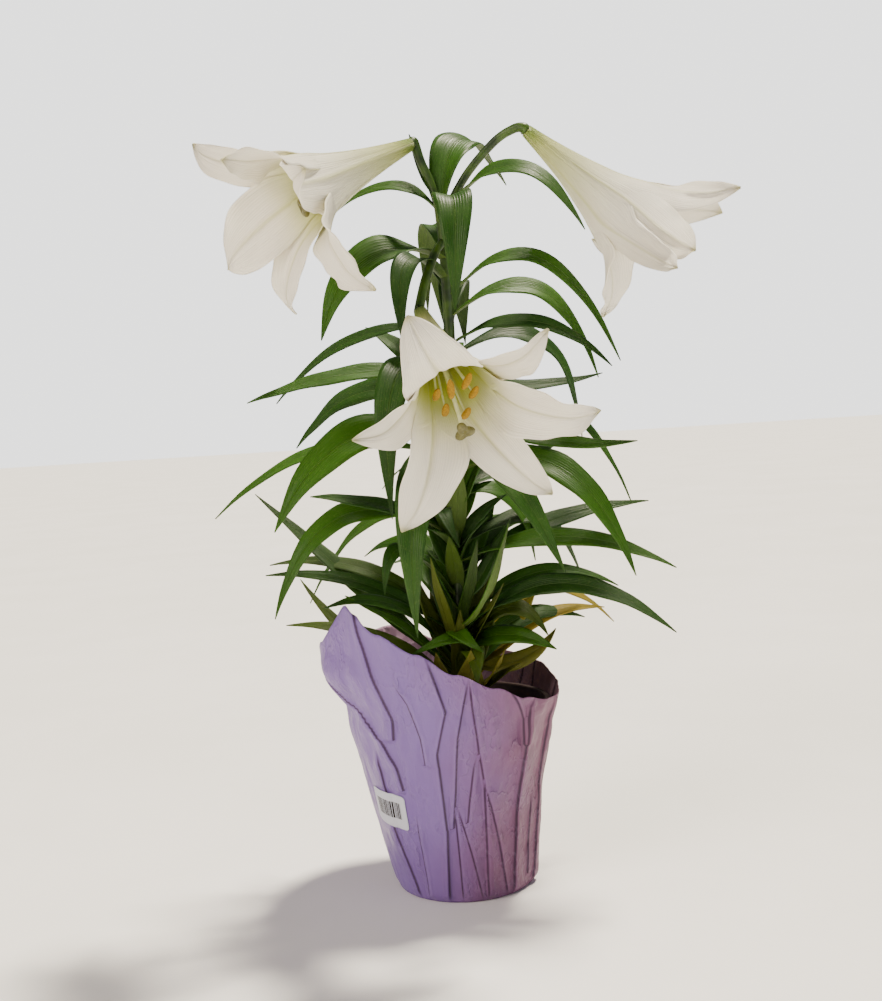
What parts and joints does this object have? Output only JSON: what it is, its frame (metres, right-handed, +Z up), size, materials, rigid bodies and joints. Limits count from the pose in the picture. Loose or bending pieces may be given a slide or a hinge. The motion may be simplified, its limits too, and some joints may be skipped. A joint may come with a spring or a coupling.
{
  "type": "potted easter lily",
  "caption": "Flowering easter lily with white trumpet blooms on a leafy stem, growing in a nursery pot wrapped in a pleated lavender pot cover.",
  "frame": {"origin": "on the floor under the middle of the pot, at the centre of the wrapper's flat base", "axes": "+Z up along the stem, -Y towards the viewer of the picture, +X to the viewer's right"},
  "size_m": [0.4257, 0.3194, 0.5937],
  "materials": {
    "leaf": "waxy, dark green, fine lengthwise veins",
    "petal": "satin cream white, translucent at the margins",
    "stamen": "powdery orange anthers on pale green filaments",
    "pot": "thin moulded nursery plastic",
    "soil": "loose peat and bark",
    "bulb": "fleshy pale scales",
    "cover": "satin lavender film, pleated and crinkled",
    "label": "blank matt sticker"
  },
  "bodies": {
    "root": {"leafy_stem": "leaf", "bloom_left": "petal", "bloom_right": "petal", "bloom_front": "petal", "stamens_left": "stamen", "stamens_right": "stamen", "stamens_front": "stamen", "pot": "pot", "soil": "soil", "bulb": "bulb", "pot_cover": "cover", "cover_label": "label"}
  },
  "joints": []
}
